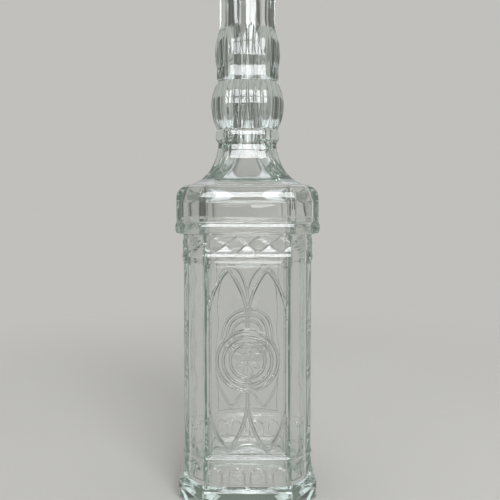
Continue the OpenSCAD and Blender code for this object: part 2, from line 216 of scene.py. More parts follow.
def polished(profile, blur):
    """The profile at every STRIDE of its length, each value averaged over a Gaussian of blur millimetres."""
    run = np.concatenate([[0], np.cumsum(np.hypot(*np.diff(profile[:, :2], axis=0).T) + 1e-6)])
    fine = np.arange(0, run[-1], STRIDE)
    rows = np.stack([np.interp(fine, run, column) for column in profile.T], axis=1)
    reach = int(30 * blur)
    bell = np.exp(-0.5 * (np.arange(-reach, reach + 1) / (10 * blur)) ** 2)
    padded = np.pad(rows, ((reach, reach), (0, 0)), mode="reflect", reflect_type="odd")
    return np.stack([np.convolve(column, bell / bell.sum(), "valid") for column in padded.T], axis=1)


def spread(profile, cell):
    """Row places along a polished profile, as many millimetres apart as cell says at each of its points."""
    count = np.concatenate([[0], np.cumsum(STRIDE / cell[:-1])])
    return np.interp(np.linspace(0, count[-1], int(count[-1]) + 1), count, np.arange(len(profile)))


# Columns of one quarter: across a flat, round its corner, across the cut corner, round the next corner
FLAT_COLUMNS, TURN_COLUMNS, CUT_COLUMNS = 56, 4, 6
QUARTER = FLAT_COLUMNS + 2 * TURN_COLUMNS + CUT_COLUMNS
COLUMNS = 4 * QUARTER


def section(u, half, flat, soft):
    """Points and normals of a square with cut and rounded corners at the columns u.

    A smaller form with sharp corners carries circles of the radius soft: point = form + soft (sin a, -cos a).
    It also gives the place along the flat or the cut, its half width, and which of the two it is.
    """
    quarter, v = np.divmod(u, QUARTER)
    first = np.clip((v - FLAT_COLUMNS) / TURN_COLUMNS, 0, 1)
    across = np.clip((v - FLAT_COLUMNS - TURN_COLUMNS) / CUT_COLUMNS, 0, 1)
    second = np.clip((v - FLAT_COLUMNS - TURN_COLUMNS - CUT_COLUMNS) / TURN_COLUMNS, 0, 1)
    t = 2 * np.clip(v / FLAT_COLUMNS, 0, 1) - 1
    short = np.maximum(flat - soft * math.tan(math.pi / 8), 0)
    deep = half - soft
    x = t * short * (1 - across) + deep * across
    y = -deep * (1 - across) - short * across
    a = math.pi / 4 * (first + second)
    x, y = x + soft * np.sin(a), y - soft * np.cos(a)
    nx, ny = np.sin(a), -np.cos(a)
    cut = np.sqrt(2) * (deep - short)
    on_cut = (first > 0.5) & (second < 0.5)
    bend = soft * math.pi / 4
    place_cut = (across - 0.5) * cut - bend * (1 - first) + bend * second
    place_flat = np.where(second >= 0.5, -short - bend * (1 - second), t * short + bend * first)
    place = np.where(on_cut, place_cut, place_flat)
    reach = np.where(on_cut, cut / 2, short) + bend / 2
    c, s = np.cos(quarter * math.pi / 2), np.sin(quarter * math.pi / 2)
    return c * x - s * y, s * x + c * y, c * nx - s * ny, s * nx + c * ny, place, reach, on_cut


def repeat(place, reach, count):
    """Place within one of count like motifs side by side, from -1/2 to 1/2, and the width of one."""
    width = 2 * reach / count
    q = place / width + count / 2
    return q - np.floor(q) - 0.5, width


DIAMONDS, DIAMOND_STEP, DIAMOND_PEAK = 4, 0.5, 0.4      # on each flat, and the rise of their edge and middle
ARCH_SPRING, ARCH_RISE = 6.5, 0.7
RIBS, RIB_RISE, RIB_WIDE, RIB_ROOM = 6, 0.45, 0.86, 0.6  # ROOM is left free at each end of a rib
RIB_POINT, RIB_HEAD = 0.4, 0.1                           # shares of a rib's height


def raised_work(place, reach, on_cut, z):
    """How far the diamonds, the arches and the ribs stand out, in millimetres.

    A diamond is where 2 |across| + 2 |up| < 1, an arch is a circle on an upright, and a rib narrows to a
    point at its foot and to a circle at its head.
    """
    q, width = repeat(place, reach, np.where(on_cut, 1, DIAMONDS))
    middle, height = (BAND_Z + BAND_TOP) / 2, BAND_TOP - BAND_Z
    inward = np.clip(1 - 2 * np.abs(q) - 2 * np.abs(z - middle) / height, 0, 1)
    diamonds = DIAMOND_STEP * ease(inward / 0.16) + DIAMOND_PEAK * inward
    springing, arch = FOOT_TOP + ARCH_SPRING, 0.4 * width
    edge = arch - np.where(z > springing, np.hypot(q * width, z - springing), np.abs(q) * width)
    arches = ARCH_RISE * ease(edge / 1.1) * ease((z - FOOT_TOP + 0.2) / 0.8) * (z < PLINTH_TOP)
    q, width = repeat(place, reach, RIBS)
    ribs = 0
    for low, high in ((LOWER_BULB_Z, UPPER_COLLAR_Z), (UPPER_BULB_Z, NECK_Z)):
        t = (z - low - RIB_ROOM) / (high - low - 2 * RIB_ROOM)
        head = np.sqrt(np.clip(1 - np.clip((t - 1 + RIB_HEAD) / RIB_HEAD, 0, 1) ** 2, 1e-4, 1))
        wide = RIB_WIDE * head * np.clip(t / RIB_POINT, 1e-3, 1)
        rib = ease((1 - np.abs(2 * q) / wide) * 2.6) * np.minimum(1, 4 * wide)
        ribs = ribs + RIB_RISE * rib * ((t > 0) & (t < 1))
    return diamonds + arches + np.where(on_cut, 0, ribs)


def surface(profile, u, s, relief, wave):
    """Points of one side of the glass at columns u and rows s, in millimetres.

    The section at each height, blended to a circle of the same half width, and pushed out along its normal
    by its raised work and by slow waves: sums of sines of the height and the angle.
    """
    z, half, flat, soft, turned = (np.interp(s, np.arange(len(profile)), column) for column in profile.T)
    x, y, nx, ny, place, reach, on_cut = section(u, half, flat, soft)
    bx, by = section(u, BODY_R, BODY_FLAT, BODY_SOFT)[:2]
    angle = np.arctan2(bx, -by)
    x, y = (1 - turned) * x + turned * half * np.sin(angle), (1 - turned) * y - turned * half * np.cos(angle)
    nx, ny = (1 - turned) * nx + turned * np.sin(angle), (1 - turned) * ny - turned * np.cos(angle)
    out = relief * raised_work(place, reach, on_cut, z) * (half > 15)
    waves = (np.sin(z / 9.1 + 2 * angle) + np.sin(z / 5.3 - 3 * angle + 1.7) + np.sin(z / 17 + angle + 4)
             + 0.7 * np.sin(z / 3.1 + 5 * angle + 0.6))
    out = out + wave * waves * ease((half - 8) / 6) * ease((TOP - 2 - z) / 4)
    return np.stack([x + out * nx, y + out * ny, z + 0 * x], axis=-1)


def sampled(profile, columns, rows, relief, wave):
    """Points and true normals on a grid: a normal is the cross product of the surface's two slopes."""
    u, s = np.meshgrid(columns, rows)
    step_u, step_s = 0.05, 0.5
    points = surface(profile, u, s, relief, wave)
    right = surface(profile, (u + step_u) % COLUMNS, s, relief, wave)
    left = surface(profile, (u - step_u) % COLUMNS, s, relief, wave)
    low, high = np.clip(s - step_s, 0, len(profile) - 1), np.clip(s + step_s, 0, len(profile) - 1)
    along_s = surface(profile, u, high, relief, wave) - surface(profile, u, low, relief, wave)
    normals = np.cross(right - left, along_s)
    return points, normals / np.maximum(np.linalg.norm(normals, axis=-1, keepdims=True), 1e-12)


def band_of_quads(first, rows, columns):
    """Quads between the rows of a grid that closes on itself, whose vertices start at first."""
    j, i = np.meshgrid(np.arange(rows - 1), np.arange(columns), indexing="ij")
    k = (i + 1) % columns
    low, high = first + j * columns, first + (j + 1) * columns
    return np.stack([low + i, low + k, high + k, high + i], axis=-1)


def smooth_mesh(name, points, faces, normals):
    """A mesh in metres from millimetre points, arrays of faces of like size, and a normal for each point."""
    mesh = bpy.data.meshes.new(name)
    mesh.vertices.add(len(points))
    mesh.vertices.foreach_set("co", (points * MM).astype(np.float32).ravel())
    corners = np.concatenate([f.ravel() for f in faces])
    sizes = np.concatenate([np.full(len(f), f.shape[1]) for f in faces])
    mesh.loops.add(len(corners))
    mesh.loops.foreach_set("vertex_index", corners.astype(np.int32))
    mesh.polygons.add(len(sizes))
    mesh.polygons.foreach_set("loop_start", np.concatenate([[0], np.cumsum(sizes)[:-1]]).astype(np.int32))
    mesh.update(calc_edges=True)
    mesh.shade_smooth()
    mesh.normals_split_custom_set_from_vertices(normals.tolist())
    return mesh


# One sunk panel with its tracery: two pointed lancets side by side, and a medallion of rings and six petals
PANEL_HALF, PANEL_MIDDLE, PANEL_DEPTH = 21.9, (PANEL_Z + PANEL_TOP) / 2, 1.4
PANEL_RISE = (PANEL_TOP - PANEL_Z) / 2
LANCET_HALF, LANCET_MARGIN, ARCH_H = 10.95, 1.9, 30.0
STEM = PANEL_RISE - LANCET_MARGIN - ARCH_H               # half the height of the upright lines
ARCH_R = (LANCET_HALF ** 2 + ARCH_H ** 2) / (2 * LANCET_HALF)
RINGS, DOT_R = (16.9, 13.5, 9.6), 1.1
PETAL_H, PETAL_W = 5.8, 2.8
PETAL_R = (PETAL_H ** 2 + PETAL_W ** 2) / (4 * PETAL_W)
LINE_HALF, LINE_RISE, FLOWER_RISE, WALL_RUN = 1.3, 0.85, 0.26, 1.0
FAR = 9.0                                                # farther from a line than any line is wide


def panel_height(x, z):
    """Height of the panel over the face of the body, in millimetres: a sunk floor with raised lines on it.

    A line is a smooth step of the distance to its middle: distances to circles, to arcs and to upright stems.
    A petal is where two circles overlap, and the distance to the nearer one rounds its edge.
    """
    z = np.abs(z - PANEL_MIDDLE)
    wide = np.abs(x)
    sunk = ease(np.minimum(PANEL_HALF - wide, PANEL_RISE - z) / WALL_RUN)
    arc_at = np.where(wide < LANCET_HALF, ARCH_R, 2 * LANCET_HALF - ARCH_R)
    arch = np.abs(np.hypot(wide - arc_at, z - STEM) - ARCH_R)
    stem = np.minimum(wide, np.abs(wide - 2 * LANCET_HALF))
    lancet = np.where(z > STEM, arch, stem)
    out = np.hypot(x, z)
    lancet = np.where(out < RINGS[0], FAR, lancet)
    ring = np.min([np.abs(out - r) for r in RINGS], axis=0)
    line = ease(1 - np.minimum(lancet, ring) / LINE_HALF)
    turn = np.arctan2(np.abs(x), np.where(z == 0, 1e-9, z))
    turn = np.abs(turn - np.round(turn / (np.pi / 3)) * np.pi / 3)
    across, along = out * np.sin(turn), out * np.cos(turn) - 2 * DOT_R - PETAL_H / 2
    petal = PETAL_R - np.hypot(across + PETAL_R - PETAL_W / 2, along)
    flower = ease((np.maximum(petal, DOT_R - out) + 0.5) / 1.5)
    return np.minimum(np.maximum(LINE_RISE * line, FLOWER_RISE * flower) - PANEL_DEPTH * sunk, 0.0)


def panel_points(margin_x, margin_z):
    """Points along the rings, the petals, the lancets' arcs and stems, and the walls of the panel.

    Seven of them lie side by side across each line. What the outer ring covers is left out.
    """
    lanes = LINE_HALF * np.array([-1, -0.62, -0.3, 0, 0.3, 0.62, 1])
    found = []
    for r in RINGS:
        a = np.linspace(0, 2 * np.pi, int(4.6 * r), endpoint=False)[:, None]
        found.append(np.stack([(r + lanes) * np.sin(a), (r + lanes) * np.cos(a)], axis=-1))
    side, along = np.meshgrid(
        np.array([-1.1, -0.7, -0.35, 0, 0.35, 0.7, 1.1]) * PETAL_W / 2, np.linspace(-0.56, 0.56, 13))
    side, along = side * (1 - 0.8 * along ** 2 * 3), 2 * DOT_R + PETAL_H * (0.5 + along)
    a = np.radians(np.arange(0, 360, 60))[:, None]
    side, along = side.ravel(), along.ravel()
    found.append(np.stack([along * np.sin(a) + side * np.cos(a),
                           along * np.cos(a) - side * np.sin(a)], axis=-1))
    sweep = np.linspace(0, math.asin(ARCH_H / ARCH_R), 24)[:, None]
    for side in (-1, 1):
        for end in (-1, 1):
            for lancet in (-LANCET_HALF, LANCET_HALF):
                x = lancet + side * (LANCET_HALF - ARCH_R + (ARCH_R + lanes) * np.cos(sweep))
                z = end * (STEM + (ARCH_R + lanes) * np.sin(sweep))
                found.append(np.stack([x, z], axis=-1))
    rise = np.linspace(-STEM, STEM, 24)[:, None]
    for x in (-2 * LANCET_HALF, 0, 2 * LANCET_HALF):
        found.append(np.stack([x + lanes + 0 * rise, rise + 0 * lanes], axis=-1))
    inward = WALL_RUN * np.array([0, 0.33, 0.67, 1])
    along = np.linspace(-1, 1, 60)[:, None]
    for side in (-1, 1):
        found.append(np.stack([side * (PANEL_HALF - inward) + 0 * along,
                               (PANEL_RISE - inward) * along], axis=-1))
        found.append(np.stack([(PANEL_HALF - inward) * along[::2],
                               side * (PANEL_RISE - inward) + 0 * along[::2]], axis=-1))
    points = np.concatenate([f.reshape(-1, 2) for f in found])
    out = np.hypot(*points.T)
    medallion = len(RINGS) + 1                           # the rings and the petals come first
    straight = np.arange(len(points)) >= sum(f[..., 0].size for f in found[:medallion])
    keep = ~straight | (out > RINGS[0] - 0.4)
    keep &= (np.abs(points[:, 0]) < margin_x) & (np.abs(points[:, 1]) < margin_z)
    return points[keep]


BEND = 0.2


def rows_by_bend(profile, widest, raised=()):
    """Millimetres between rows: BEND radians of the profile apart, and closer where something is raised."""
    z, half = profile[:, 0], profile[:, 1]
    heading = np.unwrap(np.arctan2(np.gradient(z), np.gradient(half)))
    cell = np.clip(STRIDE * BEND / np.maximum(np.abs(np.gradient(heading)), 1e-6), 0.5, widest)
    for low, high, most in raised:
        cell[(z > low) & (z < high)] = np.minimum(cell[(z > low) & (z < high)], most)
    return cell


outer = polished(outside(), 0.45)
inner = polished(inside(), 0.8)
outer_rows = spread(outer, rows_by_bend(outer, 2.6, (
    (FOOT_TOP - 1, PLINTH_TOP, 1.0), (BAND_Z, SHOULDER_Z, 0.8), (LOWER_BULB_Z, NECK_Z, 0.95))))[1:]
inner_rows = spread(inner, rows_by_bend(inner, 3.4))[:-1]

out_points, out_normals = sampled(outer, np.arange(COLUMNS), outer_rows, 1.0, 0.015)
plain_normals = sampled(outer, np.arange(COLUMNS), outer_rows, 0.0, 0.0)[1]
out_flank = np.linalg.norm(np.cross(out_normals, plain_normals), axis=-1)
in_points, in_normals = sampled(inner, np.arange(0, COLUMNS, 2), inner_rows, 0.0, 0.07)
rows_out, rows_in, half_columns = len(outer_rows), len(inner_rows), COLUMNS // 2
quads = band_of_quads(0, rows_out, COLUMNS)

# The grid is left open where a panel goes, one column and one row outside its sunk edge
row_z = np.interp(outer_rows, np.arange(len(outer)), outer[:, 0])
upright = np.interp(outer_rows, np.arange(len(outer)), outer[:, 1]) > 30
low_row = np.nonzero(upright & (row_z < PANEL_Z - 0.4))[0].max()
high_row = np.nonzero(upright & (row_z > PANEL_TOP + 0.4))[0].min()
first_column, last_column = 1, FLAT_COLUMNS - 1
open_here = np.zeros((rows_out - 1, COLUMNS), bool)
for face in range(4):
    open_here[low_row:high_row, face * QUARTER + first_column:face * QUARTER + last_column] = True
quads = quads[~open_here]

# Each panel is filled with triangles whose points follow its lines, and keeps the grid's points on its rim
rim = np.concatenate([
    [(low_row, c) for c in range(first_column, last_column)],
    [(r, last_column) for r in range(low_row, high_row)],
    [(high_row, c) for c in range(last_column, first_column, -1)],
    [(r, first_column) for r in range(high_row, low_row, -1)]])
rim_xz = out_points[rim[:, 0], rim[:, 1]][:, [0, 2]] - [0, PANEL_MIDDLE]
inner_xz = panel_points(rim_xz[:, 0].max() - 0.2, min(rim_xz[:, 1].max(), -rim_xz[:, 1].min()) - 0.2)
cloud = np.concatenate([rim_xz, inner_xz])
rim_count = len(rim)
rim_edges = [(i, (i + 1) % rim_count) for i in range(rim_count)]
found = delaunay_2d_cdt([tuple(p) for p in cloud], rim_edges, [], 0, 1e-4)
patch = np.array([tuple(v) for v in found[0]])
patch_faces = np.array(found[2])
from_rim = np.full(len(patch), -1)
for i, sources in enumerate(found[3]):
    near = [k for k in sources if k < rim_count]
    if near:
        from_rim[i] = near[0]
fresh = np.nonzero(from_rim < 0)[0]
x, z = patch[fresh, 0], patch[fresh, 1] + PANEL_MIDDLE
step = 0.05
slope_x = (panel_height(x + step, z) - panel_height(x - step, z)) / (2 * step)
slope_z = (panel_height(x, z + step) - panel_height(x, z - step)) / (2 * step)
panel_xyz = np.stack([x, -BODY_R - panel_height(x, z), z], axis=-1)
panel_normals = np.stack([-slope_x, -np.ones_like(x), -slope_z], axis=-1)
panel_normals /= np.linalg.norm(panel_normals, axis=-1, keepdims=True)
panel_flank = np.hypot(panel_normals[:, 0], panel_normals[:, 2])

points = [out_points.reshape(-1, 3), in_points.reshape(-1, 3)]
normals = [out_normals.reshape(-1, 3), in_normals.reshape(-1, 3)]
flanks = [out_flank.ravel(), np.zeros(in_points[..., 0].size)]     # sine of the slope of the raised work
first_in = rows_out * COLUMNS
count = first_in + rows_in * half_columns
faces3, faces4 = [], [quads, band_of_quads(first_in, rows_in, half_columns).reshape(-1, 4)]
for face in range(4):
    c, s = round(math.cos(face * math.pi / 2)), round(math.sin(face * math.pi / 2))
    turn = np.array([[c, -s, 0], [s, c, 0], [0, 0, 1]])
    index = np.where(from_rim >= 0, rim[from_rim, 0] * COLUMNS + rim[from_rim, 1] + face * QUARTER, 0)
    index[fresh] = count + np.arange(len(fresh))
    faces3.append(index[patch_faces])
    points.append(panel_xyz @ turn.T)
    normals.append(panel_normals @ turn.T)
    flanks.append(panel_flank)
    count += len(fresh)

# The fine columns of the bore meet the wide ones of the well, and a fan closes each end
i = np.arange(half_columns)
fine, wide = first_in - COLUMNS + 2 * i, first_in + i
next_fine, next_wide = first_in - COLUMNS + (2 * i + 2) % COLUMNS, first_in + (i + 1) % half_columns
faces3 += [np.stack(f, axis=-1) for f in (
    (fine, fine + 1, wide), (fine + 1, next_wide, wide), (fine + 1, next_fine, next_wide))]
points.append(np.array([[0, 0, PUNT_DEPTH], [0, 0, inner[-1, 0]]]))
normals.append(np.array([[0, 0, -1.0], [0, 0, 1.0]]))
flanks.append(np.zeros(2))
ring = np.arange(COLUMNS)
faces3.append(np.stack([np.full(COLUMNS, count), (ring + 1) % COLUMNS, ring], axis=-1))
last = first_in + (rows_in - 1) * half_columns
faces3.append(np.stack([last + i, last + (i + 1) % half_columns, np.full(half_columns, count + 1)], axis=-1))

faces4, faces3 = np.concatenate(faces4), np.concatenate(faces3)
used = np.unique(np.concatenate([faces4.ravel(), faces3.ravel()]))     # not the points under the panels
glass = bpy.data.objects.new("moulded_glass", smooth_mesh(
    "moulded_glass", np.concatenate(points)[used],
    [np.searchsorted(used, faces4), np.searchsorted(used, faces3)], np.concatenate(normals)[used]))
bpy.context.scene.collection.objects.link(glass)
flank = glass.data.attributes.new("flank", "FLOAT", "POINT")
flank.data.foreach_set("value", np.concatenate(flanks)[used].astype(np.float32))


class Socket:
    """One output of a shader node, so that sums and products of outputs read as plain expressions."""

    def __init__(self, shader, link):
        self.shader, self.link = shader, link

    def maths(self, operation, *values):
        return self.shader.node("ShaderNodeMath", {"operation": operation}, dict(enumerate(values)))

    def __add__(self, other): return self.maths("ADD", self, other)
    def __sub__(self, other): return self.maths("SUBTRACT", self, other)
    def __rsub__(self, other): return self.maths("SUBTRACT", other, self)
    def __mul__(self, other): return self.maths("MULTIPLY", self, other)
    def __truediv__(self, other): return self.maths("DIVIDE", self, other)
    __radd__, __rmul__ = __add__, __mul__


class Shader:
    """The node tree of one material or world, with one method that makes any node."""

    def __init__(self, tree):
        self.tree = tree
        tree.nodes.clear()

    def node(self, kind, settings=None, inputs=None, output=0):
        """Makes a node: settings first, then each input's value or link, and returns one of its outputs."""
        made = self.tree.nodes.new(kind)
        for name, value in (settings or {}).items():
            if name == "stops":
                for stop, (place, colour) in zip(self._stops(made, len(value)), value):
                    stop.position, stop.color = place, colour
            else:
                setattr(made, name, value)
        for key, value in (inputs or {}).items():
            if isinstance(value, Socket):
                self.tree.links.new(value.link, made.inputs[key])
            else:
                made.inputs[key].default_value = value
        return Socket(self, made.outputs[output]) if len(made.outputs) else None

    @staticmethod
    def _stops(made, count):
        ramp = made.color_ramp.elements
        while len(ramp) < count:
            ramp.new(1.0)
        return ramp

    def ramp(self, value, stops):
        """Colour ramp over (place, colour) stops."""
        return self.node("ShaderNodeValToRGB", {"stops": stops}, {0: value})

    def mask(self, value, low, high):
        """Black up to low and white from high on, straight between them."""
        return self.ramp(value, [(low, (0, 0, 0, 1)), (high, (1, 1, 1, 1))])

    def mix(self, share, a, b):
        """Colour mix: a at share 0 and b at share 1."""
        return self.node("ShaderNodeMix", {"data_type": "RGBA"}, {0: share, 6: a, 7: b}, output=2)

    def noise(self, where, scale, detail=2.0, rough=0.5):
        """Noise whose cells are 1 / scale metres across."""
        return self.node("ShaderNodeTexNoise", {}, {
            "Vector": where, "Scale": scale, "Detail": detail, "Roughness": rough})

    def attribute(self, name):
        """A value that the mesh carries at its points."""
        return self.node("ShaderNodeAttribute", {"attribute_name": name}, output=2)


def material(name):
    """A new material, and the shader that fills its empty node tree."""
    made = bpy.data.materials.new(name)
    made.use_nodes = True
    return made, Shader(made.node_tree)


# Clear soda-lime glass: a faint grey-green in its depth, slow ripples, and painted shade that darkens the
# steep sides of the raised work so that its lines read. Where a path is caught between the faces of the glass
# for more turns than are followed, the glass glows a painted dark grey-green, like the depth of a thick edge.
UNSHADED, FLANK_SHADE = (0.93, 0.935, 0.925, 1), (0.46, 0.50, 0.475, 1)
NO_SHADE_UP_TO, FULL_SHADE_FROM = 0.12, 0.75     # sine of the slope of the raised work
GLASS_TINT, GLASS_DENSITY = (0.82, 0.90, 0.865, 1), 20.0
TRAPPED_LIGHT, MOST_TURNS, MOST_STEPS = (0.11, 0.12, 0.108, 1), 3.5, 11.5
clear_glass, shader = material("clear_glass")
where = shader.node("ShaderNodeTexCoord", output=3)
ripple = shader.noise(where, 90.0, 1.0)
bump = shader.node("ShaderNodeBump", {}, {"Strength": 0.25, "Distance": 0.0002, "Height": ripple})
rays = shader.node("ShaderNodeLightPath").link.node.outputs
turns, steps = (Socket(shader, rays[name]) for name in ("Glossy Depth", "Ray Depth"))
# Painted glow: past MOST_TURNS glossy turns or MOST_STEPS steps, the glass emits TRAPPED_LIGHT in place of the
# light that is not followed
trapped = turns.maths("MAXIMUM", turns.maths("GREATER_THAN", turns, MOST_TURNS),
                      steps.maths("GREATER_THAN", steps, MOST_STEPS))
painted_trapped_glow = shader.mix(trapped, (0, 0, 0, 1), TRAPPED_LIGHT)
# Painted shade: the base colour darkens with the slope of the raised work, from none on flat glass to full on
# steep sides
painted_flank_shade = shader.ramp(shader.attribute("flank"), [(NO_SHADE_UP_TO, UNSHADED), (FULL_SHADE_FROM, FLANK_SHADE)])
skin = shader.node("ShaderNodeBsdfPrincipled", {}, {
    "Base Color": painted_flank_shade, "Roughness": 0.0, "IOR": 1.5, "Transmission Weight": 1.0, "Normal": bump,
    "Emission Color": painted_trapped_glow, "Emission Strength": 1.0})
depth = shader.node("ShaderNodeVolumeAbsorption", {}, {"Color": GLASS_TINT, "Density": GLASS_DENSITY})
shader.node("ShaderNodeOutputMaterial", {}, {"Surface": skin, "Volume": depth})
glass.data.materials.append(clear_glass)
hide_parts("glass_bottle")
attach(glass, "bottle")

# ---------------------------------------------------------------------------------------------------------
# The stopper's cork is punched from the bark of the cork oak: matt, grainy, and crossed by dark pores that
# leave pits where they meet its side. Its lower edge is chamfered, and its top is bored for the head's tenon.
CORK_R, CORK_FOOT, CORK_CHAMFER = 9.2, 297.2, 1.2
BORE_R, BORE_FOOT = 4.1, 308.1
PORES, PIT_FULL = 150, 0.25               # how many, and the depth in millimetres at which one is darkest


def turned(name, profile, rows, columns, carve):
    """A closed mesh turned about the axis, from pole to pole, with its grid of angles and rows.

    Each point is ((r - carve) sin a, -(r - carve) cos a, z).
    """
    def form(a, s):
        z, r = (np.interp(s, np.arange(len(profile)), column) for column in profile.T)
        r = r - carve(a, z, r)
        return np.stack([r * np.sin(a), -r * np.cos(a), z], axis=-1)

    a, s = np.meshgrid(2 * np.pi * np.arange(columns) / columns, rows[1:-1])
    points = form(a, s)
    normals = np.cross(form(a + 0.01, s) - form(a - 0.01, s), form(a, s + 0.5) - form(a, s - 0.5))
    normals /= np.maximum(np.linalg.norm(normals, axis=-1, keepdims=True), 1e-12)
    last, count, i = (len(rows) - 3) * columns, (len(rows) - 2) * columns, np.arange(columns)
    poles = np.array([[0, 0, profile[0, 0]], [0, 0, profile[-1, 0]]])
    ends = np.array([[0, 0, -1.0], [0, 0, 1.0]])
    fans = np.concatenate([
        np.stack([np.full(columns, count), (i + 1) % columns, i], axis=-1),
        np.stack([last + i, last + (i + 1) % columns, np.full(columns, count + 1)], axis=-1)])
    made = bpy.data.objects.new(name, smooth_mesh(
        name, np.concatenate([points.reshape(-1, 3), poles]),
        [band_of_quads(0, len(rows) - 2, columns).reshape(-1, 4), fans],
        np.concatenate([normals.reshape(-1, 3), ends])))
    bpy.context.scene.collection.objects.link(made)
    return made, a, s


dice = np.random.default_rng(7)
pore_a, pore_z = dice.uniform(0, 2 * np.pi, PORES), dice.uniform(CORK_FOOT + 1.4, TOP - 0.6, PORES)
pore_wide, pore_tall = dice.uniform(0.25, 1.1, PORES), dice.uniform(0.16, 0.5, PORES)
pore_deep = dice.uniform(0.12, 0.4, PORES)


def pores(a, z, r):
    """Depth of the pits in millimetres: the deepest of deep exp(-(across / wide)^2 - (up / tall)^2)."""
    depth = np.zeros(np.shape(a))
    for at, up, wide, tall, deep in zip(pore_a, pore_z, pore_wide, pore_tall, pore_deep):
        across = CORK_R * ((a - at + np.pi) % (2 * np.pi) - np.pi)
        depth = np.maximum(depth, deep * np.exp(-(across / wide) ** 2 - ((z - up) / tall) ** 2))
    return depth * ease((r - CORK_R + 1.0) / 0.8)


cork_profile = polished(np.array([
    [CORK_FOOT, 0], [CORK_FOOT, CORK_R - CORK_CHAMFER], [CORK_FOOT + CORK_CHAMFER, CORK_R], [TOP, CORK_R],
    [TOP, BORE_R], [BORE_FOOT, BORE_R], [BORE_FOOT, 0]]), 0.12)
cork_rows = spread(cork_profile, rows_by_bend(cork_profile, 0.3))
cork, a, s = turned("punched_cork", cork_profile, cork_rows, 240, pores)
z, r = (np.interp(s, np.arange(len(cork_profile)), column) for column in cork_profile.T)
pit = cork.data.attributes.new("pit", "FLOAT", "POINT")
pit.data.foreach_set("value", np.concatenate([(pores(a, z, r) / PIT_FULL).ravel(), [0, 0]]).astype(np.float32))

DARK_CORK, MID_CORK, PALE_CORK = (0.27, 0.15, 0.07, 1), (0.46, 0.29, 0.155, 1), (0.62, 0.43, 0.255, 1)
PORE_BROWN = (0.10, 0.05, 0.025, 1)
natural_cork, shader = material("natural_cork")
where = shader.node("ShaderNodeTexCoord", output=3)
layers = shader.node("ShaderNodeVectorMath", {"operation": "MULTIPLY"}, {0: where, 1: (1.0, 1.0, 0.35)})
cells = shader.noise(where, 1500.0, 3.0, 0.65)
tone = 0.55 * shader.noise(layers, 260.0, 4.0, 0.6) + 0.45 * cells
bark = shader.ramp(tone, [(0.32, DARK_CORK), (0.46, MID_CORK), (0.66, PALE_CORK)])
bark = shader.mix(shader.mask(shader.attribute("pit"), 0.15, 0.8), bark, PORE_BROWN)
bump = shader.node("ShaderNodeBump", {}, {"Strength": 0.6, "Distance": 0.0003, "Height": cells})
skin = shader.node("ShaderNodeBsdfPrincipled", {}, {"Base Color": bark, "Roughness": 0.88, "Normal": bump})
shader.node("ShaderNodeOutputMaterial", {}, {"Surface": skin})
cork.data.materials.append(natural_cork)
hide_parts("stopper_cork")
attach(cork, "stopper")

# ---------------------------------------------------------------------------------------------------------
# The stopper's head is turned from beech on a lathe, with two cut grooves round it and one on its top, and
# is rubbed with oil. The tenon under it is turned from the same blank and is glued into the cork.
HEAD_R, HEAD_TOP, HEAD_ROUND = 16.5, 331.2, 2.4
TENON_R, TENON_FOOT = 4.0, 308.2
SIDE_GROOVES, TOP_GROOVE, GROOVE_HALF, GROOVE_DEEP = (320.2, 326.2), 11.5, 0.55, 0.5
turn = np.pi / 2 * share(16)
side = np.linspace(TOP + HEAD_ROUND, HEAD_TOP - HEAD_ROUND, 160)
cut = GROOVE_DEEP * np.sum([np.exp(-((side - z) / GROOVE_HALF) ** 2) for z in SIDE_GROOVES], axis=0)
across = np.linspace(HEAD_R - HEAD_ROUND, 0, 160)
top_cut = GROOVE_DEEP * np.exp(-((across - TOP_GROOVE) / GROOVE_HALF) ** 2)
head_profile = polished(np.concatenate([
    [[TENON_FOOT, 0], [TENON_FOOT, TENON_R], [TOP, TENON_R]],
    np.stack([TOP + HEAD_ROUND * (1 - np.cos(turn)), HEAD_R - HEAD_ROUND * (1 - np.sin(turn))], axis=-1),
    np.stack([side, HEAD_R - cut], axis=-1),
    np.stack([HEAD_TOP - HEAD_ROUND * (1 - np.sin(turn)), HEAD_R - HEAD_ROUND * (1 - np.cos(turn))], axis=-1),
    np.stack([HEAD_TOP - top_cut, across], axis=-1)[1:]]), 0.1)
head_rows = spread(head_profile, rows_by_bend(head_profile, 0.9))
head = turned("turned_head", head_profile, head_rows, 192, lambda a, z, r: 0 * a)[0]

# Oiled beech: the rings of a tree whose pith lies beside the head, fine flecks along the grain, a thin sheen
DARK_BEECH, MID_BEECH, PALE_BEECH = (0.30, 0.155, 0.07, 1), (0.47, 0.275, 0.14, 1), (0.60, 0.39, 0.22, 1)
PITH, RING = (0.031, 0.018), 0.0021      # metres from the axis to the pith, and between its rings
oiled_beech, shader = material("oiled_beech")
where = shader.node("ShaderNodeTexCoord", output=3)
split = shader.node("ShaderNodeSeparateXYZ", {}, {0: where})
x, y, z = (Socket(shader, split.link.node.outputs[k]) for k in range(3))
along = shader.node("ShaderNodeVectorMath", {"operation": "MULTIPLY"}, {0: where, 1: (1.0, 1.0, 0.07)})
wander = shader.noise(along, 60.0, 2.0)
dx, dy = x - PITH[0] + 0.004 * wander, y - PITH[1]
rings = x.maths("SINE", x.maths("SQRT", dx * dx + dy * dy) * (2 * math.pi / RING) + 5 * wander)
fleck = shader.noise(along, 1100.0, 2.0, 0.6)
tone = 0.5 + 0.16 * rings + 0.9 * (fleck - 0.5) + 0.5 * (wander - 0.5)
wood = shader.ramp(tone, [(0.2, DARK_BEECH), (0.5, MID_BEECH), (0.8, PALE_BEECH)])
bump = shader.node("ShaderNodeBump", {}, {"Strength": 0.35, "Distance": 0.00015, "Height": fleck})
skin = shader.node("ShaderNodeBsdfPrincipled", {}, {
    "Base Color": wood, "Roughness": 0.38 + 0.22 * fleck, "Normal": bump,
    "Coat Weight": 0.12, "Coat Roughness": 0.3})
shader.node("ShaderNodeOutputMaterial", {}, {"Surface": skin})
head.data.materials.append(oiled_beech)
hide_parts("stopper_head")
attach(head, "stopper")

